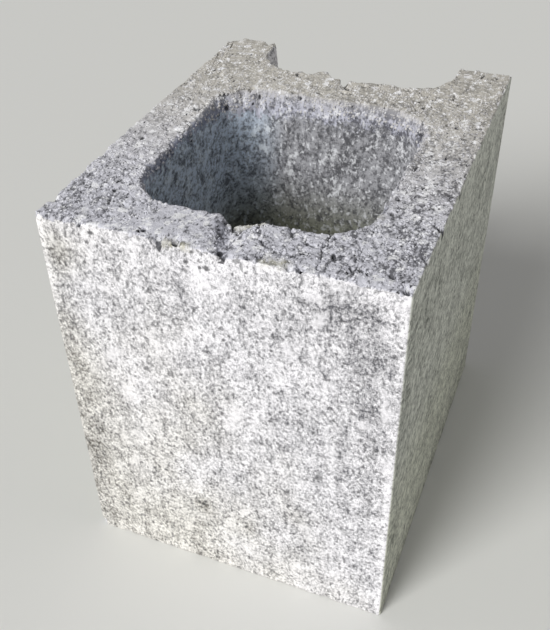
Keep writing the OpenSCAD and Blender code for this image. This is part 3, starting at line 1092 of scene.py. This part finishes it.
# %% Struck face
def nearness(recipe):
    """1 over the end web and 0 at the open end, where the struck face is much smoother."""
    place = recipe.sum_of((recipe.part("y"), 1.0), (recipe.part("x"), -0.35))
    return recipe.rise(recipe.ramp(place, 60, -75), 0, 1)


def struck_colour(recipe):
    """Grey paste with worn pale patches of a few millimetres, and painted shade in the gaps between
    grains.
    """
    inside = recipe.attribute("inside")
    # Painted light: the paste turns warmer towards the back.
    back = recipe.rise(recipe.part("y"), -80, 60)
    # Painted shade: the rim that slopes into the cell takes a lavender paste, bluer on the left.
    rim = recipe.mix(recipe.rise(recipe.part("x"), -46, -50), PASTE_RIM_SHADE, RIM_SHADE_BLUE)
    paste = recipe.mix(inside, recipe.mix(back, PASTE, PASTE_WARM_LIGHT), rim)
    # Painted shade: the paste darkens towards the right, away from the light on the left, and the rim
    # more so.
    right = recipe.ramp(recipe.part("x"), -65, 65)
    mottle = recipe.sum_of(
        (recipe.noise(1.3, 2, 0.7), 0.8),
        (recipe.noise(3.2, 2), 0.5),
        (recipe.noise(9, 1), 0.3),
        (right, -0.055),
        (recipe.math("MULTIPLY", inside, right), -0.08),
        (recipe.attribute("stain_and_shade"), -0.07),
        (1.0, 0.035),
    )
    near_dark = recipe.ramp(nearness(recipe), 0, 1, 0.42, 0.82)
    # Painted shade: on the rim the paste darkens as it slopes into the cell.
    darkest = recipe.math("MAXIMUM", near_dark, recipe.ramp(inside, 0, 1, 0, 0.85))
    dark = recipe.mix(darkest, paste, SHADE_AND_DARK_GRAIN)
    paste = recipe.mix(recipe.ramp(mottle, 0.66, 0.82), dark, paste)
    patch = recipe.ramp(recipe.sum_of((recipe.noise(3.6, 4, 0.75), 1.0), (mottle, 0.25)), 0.75, 0.84)
    stones = recipe.math("MULTIPLY", recipe.dots(7, -1.8, 2.2), recipe.ramp(inside, 0, 1, 0.75, 0.3))
    patch = recipe.math("MAXIMUM", recipe.math("MULTIPLY", patch, 0.9), stones)
    worn_share = recipe.math("MULTIPLY", patch, recipe.ramp(inside, 0, 1, 1, 0.65))
    colour = recipe.mix(worn_share, paste, WORN_PALE)
    # Painted shade: the gaps between grains are darkened.
    gap = recipe.sum_of((recipe.noise(2.4, 3, 0.65), 1.0), (nearness(recipe), -0.02))
    return recipe.mix(recipe.ramp(gap, 0.37, 0.31), colour, SHADE_AND_DARK_GRAIN)


# %% [markdown]
# The cell's walls slid along the mould's core. Their colours are painted shade, duller than the
# outside: olive and darker low down, as painted reflection and shade, bluish on the shaded left,
# with pale blobs of cement.

# %% Cell walls
def core_colour(recipe):
    """The cell's walls in painted shade: grey with a few pale blobs, bluer on the shaded left, olive and
    darker low down.
    """
    # Painted shade: the left wall of the cell is bluish, as it lies in shade.
    left = recipe.rise(recipe.part("x"), -20, -46)
    grey = recipe.mix(left, CORE_SHADE_GREY, CORE_SHADE_BLUE)
    # Painted shade and painted reflection: darker and olive low in the cell.
    low = recipe.rise(recipe.part("z"), 152, 108)
    grey = recipe.mix(low, grey, CORE_OLIVE_SHADE)
    stain_and_shade = recipe.attribute("stain_and_shade")
    mottle = recipe.sum_of((recipe.noise(1.4, 2, 0.75), 0.8), (recipe.noise(4, 2), 0.5), (stain_and_shade, -0.05))
    grey = recipe.mix(recipe.ramp(mottle, 0.53, 0.75), recipe.mix(0.8, grey, SHADE_AND_DARK_GRAIN), grey)
    blob = recipe.ramp(recipe.sum_of((recipe.noise(6.5, 4, 0.7), 1.0), (stain_and_shade, -0.03)), 0.57, 0.65)
    crumb = recipe.ramp(recipe.noise(2.3, 2, 0.6), 0.58, 0.66)
    share = recipe.math("MAXIMUM", blob, recipe.math("MULTIPLY", crumb, 0.85))
    share = recipe.math("MULTIPLY", share, recipe.ramp(low, 0, 1, 0.8, 0.45))
    return recipe.mix(share, grey, recipe.mix(left, CORE_BLOB, BLOB_SHADE_BLUE))


# %% [markdown]
# The three recipes meet in one material. The attributes made with the mesh say which one shows at
# a point, and a noise on the border keeps it ragged. The grains have a material of their own,
# which is mostly the struck face's, so that they don't look strewn on.

# %% Concrete and grains
ROUGHNESS = 0.93
GRAIN_ROUGHNESS = 0.9
SHEEN = 0.25
GRAIN_SHEEN = 0.3


def concrete_material():
    """The casting's material: walls, cell and struck face, then ochre, and painted shade in the holes
    and cracks.
    """
    recipe = Recipe("dry_cast_concrete")
    open_face = recipe.attribute("open_face")
    ragged = recipe.math("MULTIPLY", recipe.math("SUBTRACT", recipe.noise(1.8, 2), 0.5), 1.2)
    bare = recipe.ramp(recipe.math("ADD", open_face, ragged), 0.35, 0.6)
    colour = recipe.mix(recipe.attribute("inside"), wall_colour(recipe), core_colour(recipe))
    colour = recipe.mix(bare, colour, struck_colour(recipe))
    spread = recipe.ramp(recipe.noise(2.2, 3, 0.7), 0.36, 0.6, 0, 0.65)
    colour = recipe.mix(recipe.math("MULTIPLY", recipe.attribute("ochre"), spread), colour, OCHRE)
    # Painted shade: pits, dents, the dip before the ridge and the step of the break darken towards near
    # black.
    pit = recipe.sum_of((recipe.attribute("pit"), 1.0), (recipe.noise(1.7, 2), 0.9), (1.0, -0.45))
    colour = recipe.mix(recipe.ramp(pit, 0.25, 0.6, 0, 0.85), colour, SHADE_AND_DARK_GRAIN)
    # Painted shade: near the cracks the colour darkens towards near black.
    gap = recipe.sum_of((recipe.attribute("crack_gap"), 1.0), (recipe.noise(1.5, 2), 2.4))
    colour = recipe.mix(recipe.ramp(gap, 1.75, 1.35, 0, 0.9), colour, SHADE_AND_DARK_GRAIN)
    recipe.feed("Base Color", colour)
    recipe.feed("Roughness", ROUGHNESS)
    recipe.feed("Specular IOR Level", SHEEN)
    strength = recipe.mix_number(open_face, 0.12, recipe.ramp(nearness(recipe), 0, 1, 0.28, 0.62))
    fine = recipe.bump(recipe.noise(0.9, 3, 0.65), 0.5, strength)
    recipe.feed("Normal", recipe.bump(recipe.noise(2.6, 3, 0.6), 1.0, strength, fine))
    return recipe.material


def grain_material():
    """The grains' material: each lump has its own tone, dark ones only near the plain end."""
    recipe = Recipe("aggregate_grains")
    tone = recipe.attribute("tone")
    near = nearness(recipe)
    colour = recipe.mix(recipe.ramp(tone, 0.6, 1.0, 0, 0.8), PASTE, WORN_PALE)
    dark = recipe.math("MULTIPLY", recipe.ramp(tone, 0.4, 0.1, 0, 0.8), near)
    colour = recipe.mix(dark, colour, SHADE_AND_DARK_GRAIN)
    colour = recipe.mix(recipe.ramp(near, 0, 1, 0.7, 0.45), colour, struck_colour(recipe))
    colour = recipe.mix(recipe.math("MULTIPLY", recipe.attribute("ochre"), 0.5), colour, OCHRE)
    recipe.feed("Base Color", colour)
    recipe.feed("Roughness", GRAIN_ROUGHNESS)
    recipe.feed("Specular IOR Level", GRAIN_SHEEN)
    recipe.feed("Normal", recipe.bump(recipe.noise(0.7, 2), 0.3, 0.5))
    return recipe.material


body.data.materials.append(concrete_material())
grain = grain_material()
grit_piece.data.materials.append(grain)
stone_piece.data.materials.append(grain)
print("materials:", [material.name for material in bpy.data.materials])

# %% [markdown]
# The studio: a plain pale floor, a wide soft key light from the front and a little to the
# left, and a dim, even surround. A sun of strength pi lights a white card that faces it fully,
# so the strengths are given as shares of that. The camera alone sees the surround brighter.

# %% Floor and light
FLOOR_HALF = 6.0
FLOOR_COLOUR = srgb(226, 226, 222)
FLOOR_ROUGHNESS = 0.8
KEY_TURN = -22
KEY_HEIGHT = 35
KEY_SOFTNESS = 28
KEY_SHARE = 0.85
SURROUND = 0.28
BACKDROP = 0.58


def make_floor():
    """One square that faces up, FLOOR_HALF metres from its middle to each side."""
    corners = np.array([[-1, -1, 0], [1, -1, 0], [1, 1, 0], [-1, 1, 0]]) * FLOOR_HALF / MM
    floor = make_mesh("floor", corners, np.array([[0, 1, 2, 3]]), {})
    recipe = Recipe("pale_floor")
    recipe.feed("Base Color", FLOOR_COLOUR)
    recipe.feed("Roughness", FLOOR_ROUGHNESS)
    floor.data.materials.append(recipe.material)


def make_key_lamp():
    """A soft key light from the front and the left: a sun that is KEY_SOFTNESS degrees wide,
    turned about Z from -Y and raised KEY_HEIGHT degrees above the floor."""
    lamp = bpy.data.lights.new("key", "SUN")
    lamp.energy = math.pi * KEY_SHARE
    lamp.angle = math.radians(KEY_SOFTNESS)
    holder = bpy.data.objects.new("key", lamp)
    turn = Matrix.Rotation(math.radians(KEY_TURN), 4, "Z")
    holder.matrix_world = turn @ Matrix.Rotation(math.radians(90 - KEY_HEIGHT), 4, "X")
    bpy.context.scene.collection.objects.link(holder)


def make_surround():
    """Even white light from all round, at one strength for the block and one for the camera."""
    world = bpy.data.worlds.new("surround")
    world.use_nodes = True
    background = world.node_tree.nodes["Background"]
    background.inputs["Color"].default_value = (1, 1, 1, 1)
    seen = world.node_tree.nodes.new("ShaderNodeLightPath").outputs["Is Camera Ray"]
    level = world.node_tree.nodes.new("ShaderNodeMapRange")
    level.inputs["To Min"].default_value = SURROUND
    level.inputs["To Max"].default_value = BACKDROP
    world.node_tree.links.new(seen, level.inputs["Value"])
    world.node_tree.links.new(level.outputs[0], background.inputs["Strength"])
    bpy.context.scene.world = world


# %% [markdown]
# The camera was found by fitting the block's straight edges in the photograph: its place in
# metres, three turns in degrees, and its lens. It stands close and looks well down, so the upright
# edges draw together towards the floor.

# %% Camera
CAMERA_AT = (0.1192, -0.3207, 0.3649)
CAMERA_HEADING = 22.65
CAMERA_TILT = 51.11
CAMERA_ROLL = -1.30
CAMERA_LENS = 49.2
CAMERA_SENSOR = 36
CAMERA_NEAR = 0.01


def make_camera():
    """The camera stands where it did for the photograph: turned about Z by its heading, tilted
    up from straight down, and rolled about its own axis."""
    camera = bpy.data.cameras.new("camera")
    camera.sensor_width = CAMERA_SENSOR
    camera.lens = CAMERA_LENS
    camera.clip_start = CAMERA_NEAR
    holder = bpy.data.objects.new("camera", camera)
    turns = [(CAMERA_HEADING, "Z"), (CAMERA_TILT, "X"), (CAMERA_ROLL, "Z")]
    matrix = Matrix.Translation(CAMERA_AT)
    for degrees, axis in turns:
        matrix = matrix @ Matrix.Rotation(math.radians(degrees), 4, axis)
    holder.matrix_world = matrix
    bpy.context.scene.collection.objects.link(holder)
    bpy.context.scene.camera = holder


make_floor()
make_key_lamp()
make_surround()
make_camera()
bpy.context.scene.view_settings.view_transform = "Standard"
